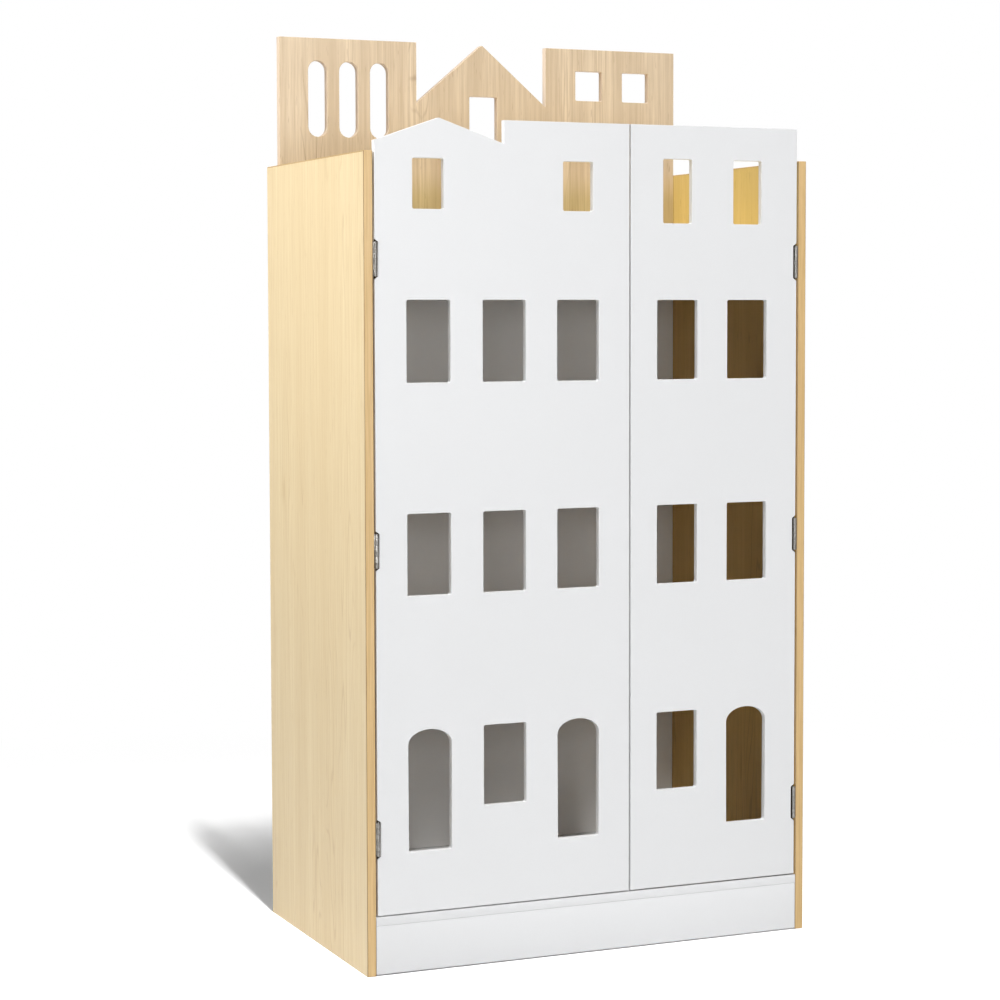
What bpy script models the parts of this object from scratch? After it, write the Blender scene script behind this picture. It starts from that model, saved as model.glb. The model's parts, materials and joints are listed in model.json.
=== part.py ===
"""A child's wardrobe whose two doors are cut like a row of town houses.

Metres, Z up, front toward -Y. The helpers take x from the wardrobe's left outer face, y from the
plane of the door fronts backwards and z from the floor.
"""

import math

import bmesh
import bpy
from mathutils import Matrix, Vector

# The carcass.
WIDTH = 0.850
DEPTH = 0.515
SIDE_HEIGHT = 1.400
SIDE_THICK = 0.016
BOARD_THICK = 0.015
DOOR_THICK = 0.012
BACK_THICK = 0.012
BACK_FACE = 0.489
REST_GAP = 0.0003

# The heights of the level boards, underside of each.
BOTTOM_UNDERSIDE = 0.086
TOP_UNDERSIDE = 1.255
PLINTH_LIFT = 0.002
TOP_BOARD_SETBACK = 0.015

# The skyline board behind the top.
SKYLINE_TOP = 1.639
VALLEY = 1.5255
VALLEY_LEFT = 0.2885
VALLEY_RIGHT = 0.556
GABLE_PEAK = 0.4225
SLOT_CENTRES = (0.0912, 0.1524, 0.2136)
SLOT_WIDTH = 0.037
SLOT_SPAN = (1.4566, 1.5976)
GABLE_WINDOW = (0.3968, 0.4545, 1.429, 1.541)
SQUARE_LEFTS = (0.620, 0.7205)
SQUARE_SIZE = 0.057
SQUARE_FOOT = 1.540

# The doors. The gap round them is the space that the hinge leaves fill.
DOOR_GAP = 0.003
DOOR_FOOT = 0.1034
DOOR_TOP = 1.457
LEFT_DOOR_RIGHT = 0.495
HOUSE_PEAK = (0.136, 1.458)
HOUSE_EAVES = 1.4175
HOUSE_RIGHT = 0.2564

# Their windows. A column is named by its left side.
COLUMNS_LEFT_DOOR = (0.076, 0.216, 0.356)
COLUMNS_RIGHT_DOOR = (0.550, 0.690)
WINDOW_WIDTH = 0.080
WINDOW_CORNER = 0.003
ATTIC_WIDTH = 0.057
ATTIC_LEFT_DOOR = (1.304, 1.3895)
ATTIC_RIGHT_DOOR = (1.2853, 1.398)
UPPER_ROW = (1.0104, 1.1506)
MIDDLE_ROW = (0.6478, 0.788)
GROUND_ROW = (0.2782, 0.418)
ARCH_FOOT = 0.208
ARCH_RISE = 0.026

# The butt hinges.
HINGE_HEIGHTS = (0.235, 0.727, 1.219)
HINGE_INSET = 0.0204
BARREL_RADIUS = 0.0026
BORE_RADIUS = 0.0016
PIN_RADIUS = 0.0015
KNUCKLES = 6
KNUCKLE_PITCH = 0.0095
LEAF_THICK = 0.001
FRAME_LEAF_WIDTH = 0.0218
NOTCH_ACROSS = 0.0065
NOTCH_DEEP = 0.0036
NOTCH_HALF_OUTER = 0.0335
NOTCH_HALF_INNER = 0.0288

# The fittings inside.
RAIL_HEIGHT = 1.200
RAIL_DEPTH = 0.252
RAIL_RADIUS = 0.0125
RAIL_WALL = 0.0015
SOCKET_RADIUS = 0.019
SOCKET_LENGTH = 0.008
SOCKET_FLOOR = 0.002
CATCH_SIZE = (0.040, 0.018, 0.0125)
STRIKE_SIZE = (0.032, 0.0012, 0.016)
CATCH_FROM_EDGE = 0.028
CAM_RADIUS = 0.0075
CAM_DEPTH = 0.012
CAM_FROM_SIDE = 0.034
CAM_FROM_FRONT = (0.070, 0.430)

ROUND_STEPS = 24
MIDDLE = Vector((-WIDTH / 2, -(DEPTH - BARREL_RADIUS) / 2, 0))


def clear_scene():
    for obj in list(bpy.data.objects):
        bpy.data.objects.remove(obj, do_unlink=True)


def make_material(name, colour, roughness, metallic=0.0):
    material = bpy.data.materials.new(name)
    material.use_nodes = True
    shader = material.node_tree.nodes["Principled BSDF"]
    shader.inputs["Base Color"].default_value = (*colour, 1.0)
    shader.inputs["Roughness"].default_value = roughness
    shader.inputs["Metallic"].default_value = metallic
    material.diffuse_color = (*colour, 1.0)
    return material


def mesh_from(bm, name):
    bmesh.ops.remove_doubles(bm, verts=bm.verts, dist=1e-6)
    bmesh.ops.recalc_face_normals(bm, faces=bm.faces)
    mesh = bpy.data.meshes.new(name)
    bm.to_mesh(mesh)
    bm.free()
    return mesh


def place(name, mesh, material, at=(0.0, 0.0, 0.0), parent=None, turn=None):
    """Adds the mesh as an object. With a parent, at is measured from the parent's own point."""
    obj = bpy.data.objects.new(name, mesh)
    bpy.context.scene.collection.objects.link(obj)
    where = Vector(at) if parent else Vector(at) + MIDDLE
    obj.matrix_basis = Matrix.Translation(where) @ (turn or Matrix.Identity(4))
    obj.parent = parent
    if material and not mesh.materials:
        mesh.materials.append(material)
    return obj


def hide(obj):
    obj.hide_render = True
    obj.display_type = "WIRE"
    return obj


def box_mesh(name, low, high):
    bm = bmesh.new()
    bmesh.ops.create_cube(bm, size=1.0)
    for vert in bm.verts:
        vert.co = Vector(
            low[i] if vert.co[i] < 0 else high[i] for i in range(3)
        )
    return mesh_from(bm, name)


def extruded_mesh(name, outline, holes, axis, start, end):
    """A flat shape with holes, drawn in the two other axes and extruded along axis."""
    others = [i for i in range(3) if i != axis]
    bm = bmesh.new()
    edges = []
    for loop in [outline, *holes]:
        verts = []
        for first, second in loop:
            point = Vector((0, 0, 0))
            point[axis] = start
            point[others[0]] = first
            point[others[1]] = second
            verts.append(bm.verts.new(point))
        for i, vert in enumerate(verts):
            edges.append(bm.edges.new((verts[i - 1], vert)))
    filled = bmesh.ops.triangle_fill(bm, edges=edges, use_beauty=True)
    faces = [item for item in filled["geom"] if isinstance(item, bmesh.types.BMFace)]
    grown = bmesh.ops.extrude_face_region(bm, geom=faces)
    moved = [item for item in grown["geom"] if isinstance(item, bmesh.types.BMVert)]
    step = Vector((0, 0, 0))
    step[axis] = end - start
    bmesh.ops.translate(bm, verts=moved, vec=step)
    return mesh_from(bm, name)


def turned_mesh(name, profile, axis=2, steps=ROUND_STEPS):
    """A solid of revolution about axis, from a closed loop of (radius, distance along) points."""
    bm = bmesh.new()
    rings = []
    for radius, along in profile:
        ring = []
        for i in range(steps if radius > 0 else 1):
            angle = math.tau * i / steps
            ring.append(bm.verts.new((radius * math.cos(angle), radius * math.sin(angle), along)))
        rings.append(ring)
    for i, ring in enumerate(rings):
        last = rings[i - 1]
        if len(ring) == 1 and len(last) == 1:
            continue
        for k in range(steps):
            corners = [last[k % len(last)], last[(k + 1) % steps % len(last)]]
            corners += [ring[(k + 1) % steps % len(ring)], ring[k % len(ring)]]
            bm.faces.new(list(dict.fromkeys(corners)))
    if axis == 0:
        bmesh.ops.rotate(bm, verts=bm.verts, matrix=Matrix.Rotation(math.pi / 2, 3, "Y"))
    return mesh_from(bm, name)


def rounded(points, steps=3):
    """An outline whose corners are rounded. Each point is (x, z, radius), and 0 leaves it sharp."""
    loop = []
    for i, (x, z, radius) in enumerate(points):
        corner = Vector((x, z))
        if not radius:
            loop.append(tuple(corner))
            continue
        before = (Vector(points[i - 1][:2]) - corner).normalized()
        after = (Vector(points[(i + 1) % len(points)][:2]) - corner).normalized()
        half = before.angle(after) / 2
        centre = corner + (before + after).normalized() * radius / math.sin(half)
        reach = radius / math.tan(half)
        first = corner + before * reach - centre
        final = corner + after * reach - centre
        angle = math.atan2(first.y, first.x)
        turn = (math.atan2(final.y, final.x) - angle + math.pi) % math.tau - math.pi
        for k in range(steps + 1):
            there = angle + turn * k / steps
            loop.append((centre.x + radius * math.cos(there), centre.y + radius * math.sin(there)))
    return loop


def window(left, width, foot, head, radius=WINDOW_CORNER):
    right = left + width
    corners = [(left, foot), (right, foot), (right, head), (left, head)]
    return rounded([(x, z, radius) for x, z in corners])


def arched_window(left, width, foot, head, rise=ARCH_RISE, steps=18):
    """A window whose head is half an ellipse as high as rise."""
    right = left + width
    middle = left + width / 2
    loop = rounded([(left, foot, WINDOW_CORNER), (right, foot, WINDOW_CORNER), (middle, head, 0)])[:-1]
    for k in range(steps + 1):
        angle = math.pi * k / steps
        loop.append((middle + width / 2 * math.cos(angle), head - rise + rise * math.sin(angle)))
    return loop


def slot(centre, width, foot, head, steps=10):
    """An upright slot with round ends."""
    radius = width / 2
    loop = []
    for middle, start in ((foot + radius, math.pi), (head - radius, 0.0)):
        for k in range(steps + 1):
            angle = start + math.pi * k / steps
            loop.append((centre + radius * math.cos(angle), middle + radius * math.sin(angle)))
    return loop


def cut(obj, cutter, operation="DIFFERENCE"):
    modifier = obj.modifiers.new(cutter.name, "BOOLEAN")
    modifier.operation = operation
    modifier.object = cutter
    modifier.solver = "EXACT"


def baked(obj):
    """The object's mesh with its modifiers applied. The object itself goes."""
    graph = bpy.context.evaluated_depsgraph_get()
    mesh = bpy.data.meshes.new_from_object(obj.evaluated_get(graph))
    mesh.name = obj.name
    for modifier in list(obj.modifiers):
        bpy.data.objects.remove(modifier.object, do_unlink=True)
    bpy.data.objects.remove(obj, do_unlink=True)
    return mesh


def smooth(mesh, degrees=40):
    mesh.shade_smooth()
    mesh.set_sharp_from_angle(angle=math.radians(degrees))


def knuckle_height(number):
    return (KNUCKLES - 1) * KNUCKLE_PITCH / 2 - number * KNUCKLE_PITCH


def leaf_mesh(name, plate_low, plate_high, neck, numbers):
    """A hinge leaf about its own axis: a plate, and for each knuckle a neck and a bored barrel."""
    half = (KNUCKLES * KNUCKLE_PITCH - REST_GAP) / 2
    low = (*plate_low, -half)
    high = (*plate_high, half)
    leaf = bpy.data.objects.new(name, box_mesh(name, low, high))
    bpy.context.scene.collection.objects.link(leaf)
    for number in numbers:
        middle = knuckle_height(number)
        foot = middle - (KNUCKLE_PITCH - REST_GAP) / 2
        head = middle + (KNUCKLE_PITCH - REST_GAP) / 2
        neck_mesh = extruded_mesh("neck", neck, [], 2, foot, head)
        profile = [(0.0, foot), (BARREL_RADIUS, foot), (BARREL_RADIUS, head), (0.0, head)]
        for mesh in (neck_mesh, turned_mesh("barrel", profile)):
            piece = bpy.data.objects.new(mesh.name, mesh)
            bpy.context.scene.collection.objects.link(piece)
            cut(leaf, piece, "UNION")
    reach = KNUCKLES * KNUCKLE_PITCH
    profile = [(0.0, -reach), (BORE_RADIUS, -reach), (BORE_RADIUS, reach), (0.0, reach)]
    bore = bpy.data.objects.new("bore", turned_mesh("bore", profile))
    bpy.context.scene.collection.objects.link(bore)
    cut(leaf, bore)
    bpy.context.view_layer.update()
    mesh = baked(leaf)
    smooth(mesh)
    return mesh


def frame_leaf_mesh():
    """Its plate lies on the side panel, and its necks reach the barrel level with the front."""
    panel = SIDE_THICK + REST_GAP - HINGE_INSET
    low = (panel, REST_GAP)
    high = (panel + LEAF_THICK, REST_GAP + FRAME_LEAF_WIDTH)
    inside = -(BARREL_RADIUS + BORE_RADIUS) / 2
    neck = [
        (panel + LEAF_THICK / 2, REST_GAP),
        (inside, REST_GAP),
        (inside, REST_GAP + LEAF_THICK),
        (panel + LEAF_THICK / 2, REST_GAP + LEAF_THICK),
    ]
    return leaf_mesh("frame_leaf", low, high, neck, range(0, KNUCKLES, 2))


def door_leaf_mesh():
    """Its plate lies on the door's edge, and its necks pass the notch to reach the barrel."""
    edge = SIDE_THICK + DOOR_GAP - HINGE_INSET
    outer = edge - REST_GAP - LEAF_THICK
    inner = edge - REST_GAP
    low = (outer, 0.0045)
    high = (inner, DOOR_THICK - REST_GAP)
    neck = [
        (outer, 0.0052),
        (outer, 0.0034),
        (-0.00175, 0.00125),
        (-0.00110, 0.00180),
        (inner, 0.0036),
        (inner, 0.0052),
    ]
    return leaf_mesh("door_leaf", low, high, neck, range(1, KNUCKLES, 2))


def pin_mesh():
    """A pin with a low round head beyond each end of the barrel."""
    rim = KNUCKLES * KNUCKLE_PITCH / 2 + REST_GAP
    profile = [(0.0, -rim - 0.0009), (0.0014, -rim - 0.0008), (0.0022, -rim - 0.0003)]
    profile += [(0.0022, -rim), (PIN_RADIUS, -rim), (PIN_RADIUS, rim), (0.0022, rim)]
    profile += [(0.0022, rim + 0.0003), (0.0014, rim + 0.0008), (0.0, rim + 0.0009)]
    mesh = turned_mesh("pin", profile)
    smooth(mesh)
    return mesh


def notch_mesh(edge, inward):
    """A cutter for the notch that holds a barrel. inward is the way from the edge into the door."""
    outer = edge - inward * 0.002
    inner = edge + inward * NOTCH_ACROSS
    slope = (NOTCH_HALF_OUTER - NOTCH_HALF_INNER) / NOTCH_ACROSS
    half = NOTCH_HALF_OUTER + slope * 0.002
    outline = [(outer, -half), (inner, -NOTCH_HALF_INNER), (inner, NOTCH_HALF_INNER), (outer, half)]
    return extruded_mesh("notch", outline, [], 1, -0.002, NOTCH_DEEP)


def add_door(name, side, outline, holes, axis_x, edge, inward):
    """A door about its own hinge axis, with its notches and its halves of the hinges."""
    axis = bpy.data.objects.new(name + "_axis", None)
    axis.location = Vector((axis_x, 0, 0)) + MIDDLE
    bpy.context.scene.collection.objects.link(axis)
    shift = -axis_x
    moved = [[(x + shift, z) for x, z in loop] for loop in [outline, *holes]]
    mesh = extruded_mesh(name, moved[0], moved[1:], 1, 0.0, DOOR_THICK)
    door = place(name, mesh, WHITE, parent=axis)
    for i, height in enumerate(HINGE_HEIGHTS):
        notch = notch_mesh(edge + shift, inward)
        cutter = place(f"{name}_notch_{i + 1}", notch, None, (0, 0, height), axis)
        cut(door, hide(cutter))
    turn = Matrix.Identity(4) if side == "left" else Matrix.Rotation(math.pi, 4, "Y")
    for level, height in zip(("lower", "middle", "upper"), HINGE_HEIGHTS):
        hinge = f"{side}_{level}_hinge"
        place(hinge + "_door_leaf", DOOR_LEAF, NICKEL, (0, 0, height), axis, turn)
        place(hinge + "_frame_leaf", FRAME_LEAF, NICKEL, (axis_x, 0, height), None, turn)
        place(hinge + "_pin", PIN, NICKEL, (axis_x, 0, height), None, turn)
    return axis


def add_carcass():
    height = (0.0, SIDE_HEIGHT)
    for name, left in (("left_side_panel", 0.0), ("right_side_panel", WIDTH - SIDE_THICK)):
        low = (left, 0.0, height[0])
        high = (left + SIDE_THICK, DEPTH, height[1])
        place(name, box_mesh(name, low, high), MAPLE)

    left = SIDE_THICK + REST_GAP
    right = WIDTH - SIDE_THICK - REST_GAP
    rear = BACK_FACE + BOARD_THICK
    for name, front, underside in (
        ("bottom_board", 0.0, BOTTOM_UNDERSIDE),
        ("top_board", TOP_BOARD_SETBACK, TOP_UNDERSIDE),
    ):
        low = (left, front, underside)
        high = (right, rear, underside + BOARD_THICK)
        board = place(name, box_mesh(name, low, high), WHITE)
        add_cams(board, name.split("_")[0], underside)

    head = BOTTOM_UNDERSIDE - REST_GAP
    low = (left, 0.0, PLINTH_LIFT)
    place("toe_kick", box_mesh("toe_kick", low, (right, BOARD_THICK, head)), WHITE)
    low = (left, BACK_FACE, PLINTH_LIFT)
    place("rear_plinth_rail", box_mesh("rear_plinth_rail", low, (right, rear, head)), WHITE)
    low = (left, BACK_FACE, BOTTOM_UNDERSIDE + BOARD_THICK + REST_GAP)
    high = (right, BACK_FACE + BACK_THICK, TOP_UNDERSIDE - REST_GAP)
    place("back_panel", box_mesh("back_panel", low, high), WHITE)


def add_cams(board, name, underside):
    """The round cams that draw the board to the side panels, each in a blind pocket from below."""
    pocket_radius = CAM_RADIUS + REST_GAP
    foot = -0.001
    roof = CAM_DEPTH + REST_GAP
    profile = [(0.0, foot), (pocket_radius, foot), (pocket_radius, roof), (0.0, roof)]
    pocket = turned_mesh("cam_pocket", profile)
    spots = []
    for side, x in (("left", CAM_FROM_SIDE), ("right", WIDTH - CAM_FROM_SIDE)):
        for end, y in zip(("front", "rear"), CAM_FROM_FRONT):
            spots.append((f"{name}_{side}_{end}_cam", (x, y, underside)))
    for spot, at in spots:
        cut(board, hide(place(spot + "_pocket", pocket, None, at)))
        place(spot, CAM, ZINC, at)


def cam_mesh():
    """A cam with a screwdriver slot across its face."""
    profile = [(0.0, 0.0), (CAM_RADIUS, 0.0), (CAM_RADIUS, CAM_DEPTH), (0.0, CAM_DEPTH)]
    cam = bpy.data.objects.new("cam", turned_mesh("cam", profile))
    bpy.context.scene.collection.objects.link(cam)
    low = (-0.0006, -0.0045, -0.001)
    high = (0.0006, 0.0045, 0.002)
    driver_slot = bpy.data.objects.new("driver_slot", box_mesh("driver_slot", low, high))
    bpy.context.scene.collection.objects.link(driver_slot)
    cut(cam, driver_slot)
    bpy.context.view_layer.update()
    mesh = baked(cam)
    smooth(mesh)
    return mesh


def add_skyline():
    foot = TOP_UNDERSIDE + BOARD_THICK + REST_GAP
    left = SIDE_THICK + REST_GAP
    right = WIDTH - SIDE_THICK - REST_GAP
    outline = rounded([
        (left, foot, 0),
        (right, foot, 0),
        (right, SKYLINE_TOP, 0),
        (VALLEY_RIGHT, SKYLINE_TOP, 0),
        (VALLEY_RIGHT, VALLEY, 0),
        (GABLE_PEAK, SKYLINE_TOP, 0.004),
        (VALLEY_LEFT, VALLEY, 0),
        (VALLEY_LEFT, SKYLINE_TOP, 0),
        (left, SKYLINE_TOP, 0),
    ])
    holes = [slot(x, SLOT_WIDTH, *SLOT_SPAN) for x in SLOT_CENTRES]
    gable_left, gable_right, gable_foot, gable_head = GABLE_WINDOW
    holes.append(window(gable_left, gable_right - gable_left, gable_foot, gable_head))
    for x in SQUARE_LEFTS:
        holes.append(window(x, SQUARE_SIZE, SQUARE_FOOT, SQUARE_FOOT + SQUARE_SIZE))
    rear = BACK_FACE + BOARD_THICK
    mesh = extruded_mesh("skyline_board", outline, holes, 1, BACK_FACE, rear)
    place("skyline_board", mesh, SKYLINE_MAPLE)


def door_windows(columns, attic_columns, attic_span, arches):
    """The windows of one door. arches holds the columns whose ground-floor window is a doorway."""
    holes = []
    for left in attic_columns:
        inset = (WINDOW_WIDTH - ATTIC_WIDTH) / 2
        holes.append(window(left + inset, ATTIC_WIDTH, *attic_span))
    for left in columns:
        holes.append(window(left, WINDOW_WIDTH, *UPPER_ROW))
        holes.append(window(left, WINDOW_WIDTH, *MIDDLE_ROW))
        if left in arches:
            holes.append(arched_window(left, WINDOW_WIDTH, ARCH_FOOT, GROUND_ROW[1]))
        else:
            holes.append(window(left, WINDOW_WIDTH, *GROUND_ROW))
    return holes


def add_doors():
    left = SIDE_THICK + DOOR_GAP
    outline = rounded([
        (left, DOOR_FOOT, 0),
        (LEFT_DOOR_RIGHT, DOOR_FOOT, 0),
        (LEFT_DOOR_RIGHT, DOOR_TOP, 0),
        (HOUSE_RIGHT, DOOR_TOP, 0),
        (HOUSE_RIGHT, HOUSE_EAVES - 0.0005, 0),
        (*HOUSE_PEAK, 0.003),
        (left, HOUSE_EAVES, 0),
    ])
    first, second, third = COLUMNS_LEFT_DOOR
    holes = door_windows(COLUMNS_LEFT_DOOR, (first, third), ATTIC_LEFT_DOOR, (first, third))
    add_door("left_door", "left", outline, holes, HINGE_INSET, left, 1)

    left = LEFT_DOOR_RIGHT + DOOR_GAP
    right = WIDTH - SIDE_THICK - DOOR_GAP
    outline = [(left, DOOR_FOOT), (right, DOOR_FOOT), (right, DOOR_TOP), (left, DOOR_TOP)]
    fourth, fifth = COLUMNS_RIGHT_DOOR
    holes = door_windows(COLUMNS_RIGHT_DOOR, (fourth, fifth), ATTIC_RIGHT_DOOR, (fifth,))
    add_door("right_door", "right", outline, holes, WIDTH - HINGE_INSET, right, -1)


def add_rail():
    """The hanging rail is a tube, and each end lies in a cup screwed to a side panel."""
    start = SIDE_THICK + 2 * REST_GAP + SOCKET_FLOOR
    length = WIDTH - 2 * start
    inner = RAIL_RADIUS - RAIL_WALL
    profile = [(inner, 0.0), (RAIL_RADIUS, 0.0), (RAIL_RADIUS, length), (inner, length)]
    tube = turned_mesh("hanging_rail", profile, axis=0, steps=32)
    smooth(tube)
    place("hanging_rail", tube, CHROME, (start, RAIL_DEPTH, RAIL_HEIGHT))

    cup = RAIL_RADIUS + REST_GAP
    rim = SOCKET_LENGTH
    profile = [
        (0.0, 0.0),
        (SOCKET_RADIUS, 0.0),
        (SOCKET_RADIUS, rim - 0.0015),
        (SOCKET_RADIUS - 0.0015, rim),
        (cup, rim),
        (cup, SOCKET_FLOOR),
        (0.0, SOCKET_FLOOR),
    ]
    socket = turned_mesh("rail_socket", profile, axis=0, steps=32)
    smooth(socket)
    wall = SIDE_THICK + REST_GAP
    place("left_rail_socket", socket, CHROME, (wall, RAIL_DEPTH, RAIL_HEIGHT))
    turn = Matrix.Rotation(math.pi, 4, "Z")
    place("right_rail_socket", socket, CHROME, (WIDTH - wall, RAIL_DEPTH, RAIL_HEIGHT), None, turn)


def add_catches():
    """A magnet block under the top board for each door, and a steel plate on the door's back."""
    roof = TOP_UNDERSIDE - REST_GAP
    front = DOOR_THICK + STRIKE_SIZE[1] + 2 * REST_GAP
    for side, axis_x, middle in (
        ("left", HINGE_INSET, LEFT_DOOR_RIGHT - CATCH_FROM_EDGE),
        ("right", WIDTH - HINGE_INSET, LEFT_DOOR_RIGHT + DOOR_GAP + CATCH_FROM_EDGE),
    ):
        width, depth, tall = CATCH_SIZE
        low = (middle - width / 2, front, roof - tall)
        high = (middle + width / 2, front + depth, roof)
        place(side + "_catch", box_mesh("catch", low, high), WHITE_PLASTIC)

        width, depth, tall = STRIKE_SIZE
        near = middle - axis_x
        low = (near - width / 2, DOOR_THICK + REST_GAP, roof - tall)
        high = (near + width / 2, DOOR_THICK + REST_GAP + depth, roof)
        door_axis = bpy.data.objects[side + "_door_axis"]
        place(side + "_strike_plate", box_mesh("strike", low, high), ZINC, parent=door_axis)


clear_scene()
MAPLE = make_material("maple_laminate", (0.73, 0.58, 0.38), 0.45)
SKYLINE_MAPLE = make_material("skyline_maple", (0.70, 0.53, 0.34), 0.5)
WHITE = make_material("white_paint", (0.86, 0.86, 0.85), 0.4)
NICKEL = make_material("nickel", (0.60, 0.58, 0.54), 0.3, 1.0)
CHROME = make_material("chrome", (0.72, 0.72, 0.73), 0.15, 1.0)
ZINC = make_material("zinc", (0.52, 0.53, 0.54), 0.4, 1.0)
WHITE_PLASTIC = make_material("white_plastic", (0.80, 0.80, 0.78), 0.35)

FRAME_LEAF = frame_leaf_mesh()
DOOR_LEAF = door_leaf_mesh()
PIN = pin_mesh()
CAM = cam_mesh()

add_carcass()
add_skyline()
add_doors()
add_rail()
add_catches()
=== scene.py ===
"""The looks of a child's wardrobe with a town-house front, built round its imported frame."""

import json
import math

import bmesh
import bpy
from mathutils import Matrix, Vector


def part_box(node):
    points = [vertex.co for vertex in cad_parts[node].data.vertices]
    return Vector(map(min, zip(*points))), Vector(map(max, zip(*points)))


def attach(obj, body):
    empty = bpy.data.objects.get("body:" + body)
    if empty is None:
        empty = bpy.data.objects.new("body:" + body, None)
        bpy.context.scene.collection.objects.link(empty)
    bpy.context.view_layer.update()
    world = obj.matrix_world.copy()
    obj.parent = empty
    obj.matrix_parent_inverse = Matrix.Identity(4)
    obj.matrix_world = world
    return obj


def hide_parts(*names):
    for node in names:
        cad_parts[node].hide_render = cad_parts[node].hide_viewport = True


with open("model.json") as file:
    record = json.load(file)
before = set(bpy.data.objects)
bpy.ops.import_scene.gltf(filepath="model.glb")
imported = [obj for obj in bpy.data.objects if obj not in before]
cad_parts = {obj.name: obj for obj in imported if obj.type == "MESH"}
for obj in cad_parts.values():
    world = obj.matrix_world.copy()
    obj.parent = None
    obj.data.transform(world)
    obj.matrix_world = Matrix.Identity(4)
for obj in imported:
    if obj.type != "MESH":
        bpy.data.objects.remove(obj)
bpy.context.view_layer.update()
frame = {"nodes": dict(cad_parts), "record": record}

BODY_OF = {}
for body_name, members in frame["record"]["behaviour"]["bodies"].items():
    for member in members:
        BODY_OF[member] = body_name
SLOT_OF = {part["node"]: part["material_slot"] for part in frame["record"]["subparts"]}

# Sizes of the finer shapes, in metres. An EASE is the width of a rounding.
BAND_THICK = 0.0020      # edging glued on the side panels
BAND_EASE = 0.0013
CORE_EASE = 0.0002
GLUE_LINE = 0.0004       # how far the glue shows on each side of its seam
BOARD_EASE = 0.0007
DOOR_EASE = 0.0009
METAL_EASE = 0.00022
ROUND_STEPS = 3          # faces across a door's or the skyline board's rounding
SHARP_ANGLE = 35.0       # degrees: a corner sharper than this keeps its crease
TOUCH = 1e-6             # points closer than this are one point

# The notches that were cut in the doors for the hinge barrels.
NOTCH_RIM = 0.0005       # the strip at the door's edge that counts as door
NOTCH_ACROSS = 0.0070    # how far from the door's edge a notch's faces reach
NOTCH_HALF = 0.0340      # how far above and below the barrel's middle they reach

# Hinge leaves and their screws.
LEAF_THICK = 0.001
FRAME_SCREW_RADIUS = 0.0030
FRAME_SCREW_DEPTHS = (0.0065, 0.0125, 0.0065)    # in front of the leaf's rear edge
DOOR_SCREW_RADIUS = 0.0024
DOOR_SCREW_DEPTHS = (0.0035, 0.0035, 0.0035)
HINGE_SCREW_LIFTS = (-0.0205, 0.0, 0.0205)

# Hanging rail and its sockets.
TUBE_WALL = 0.0015
TUBE_EASE = 0.0003
CUP_CLEARANCE = 0.0003

# Magnetic catches and strike plates.
CATCH_EASE = 0.0005
CATCH_SCREW_RADIUS = 0.0022
EAR_LONG = 0.0075
EAR_THICK = 0.003
EAR_EASE = 0.0004
EAR_LAP = 0.0005         # how far an ear runs into the body
LIP = 0.003              # wall round the mouth
MOUTH_DEEP = 0.006
POLE_GAP = 0.0005        # between the mouth's ends and the pole strips
POLE_DEEP = 0.005
POLE_THICK = 0.0009
POLE_LIFTS = (-0.0022, 0.0014)
MAGNET_HALF = 0.0013
SMALL_EASE = 0.0001
PLATE_CORNER = 0.003
PLATE_EASE = 0.00015
PLATE_SCREW_RADIUS = 0.0026

SIDES = ("left", "right")
LEVELS = ("lower", "middle", "upper")


# ---------------------------------------------------------------- materials

def add_node(tree, kind, inputs=None, **settings):
    """Adds a shader node. A value in inputs is a socket to link or a number or colour to set."""
    node = tree.nodes.new(kind)
    for key, value in settings.items():
        setattr(node, key, value)
    for key, value in (inputs or {}).items():
        if isinstance(value, bpy.types.NodeSocket):
            tree.links.new(value, node.inputs[key])
        else:
            node.inputs[key].default_value = value
    return node


def new_material(name, roughness, metallic=0.0, specular=0.5):
    """A node material, with its node tree and its shader."""
    material = bpy.data.materials.new(name)
    material.use_nodes = True
    tree = material.node_tree
    shader = tree.nodes["Principled BSDF"]
    shader.inputs["Roughness"].default_value = roughness
    shader.inputs["Metallic"].default_value = metallic
    shader.inputs["Specular IOR Level"].default_value = specular
    return material, tree, shader


def stretched(tree, scale, shift=(0.0, 0.0, 0.0)):
    """The place on the object in metres, stretched by scale."""
    place = add_node(tree, "ShaderNodeTexCoord").outputs["Object"]
    mapping = add_node(tree, "ShaderNodeMapping", {"Vector": place, "Scale": scale, "Location": shift})
    return mapping.outputs["Vector"]


def noise(tree, vector, scale, detail=2.0, roughness=0.5, distortion=0.0):
    made = add_node(tree, "ShaderNodeTexNoise", {
        "Vector": vector, "Scale": scale, "Detail": detail,
        "Roughness": roughness, "Distortion": distortion,
    })
    return made.outputs["Fac"]


def remap(tree, value, low, high, to_low=0.0, to_high=1.0):
    made = add_node(tree, "ShaderNodeMapRange", {
        "Value": value, "From Min": low, "From Max": high, "To Min": to_low, "To Max": to_high,
    }, interpolation_type="SMOOTHSTEP")
    return made.outputs["Result"]


def mix_colour(tree, factor, first, second, kind="MIX"):
    made = tree.nodes.new("ShaderNodeMix")
    made.data_type = "RGBA"
    made.blend_type = kind
    for socket, value in ((made.inputs[0], factor), (made.inputs[6], first), (made.inputs[7], second)):
        if isinstance(value, bpy.types.NodeSocket):
            tree.links.new(value, socket)
        elif isinstance(value, (int, float)):
            socket.default_value = value
        else:
            socket.default_value = (*value, 1.0)
    return made.outputs[2]


def bump(tree, shader, height, distance, strength):
    made = add_node(tree, "ShaderNodeBump", {
        "Height": height, "Distance": distance, "Strength": strength,
    })
    tree.links.new(made.outputs["Normal"], shader.inputs["Normal"])


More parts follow.
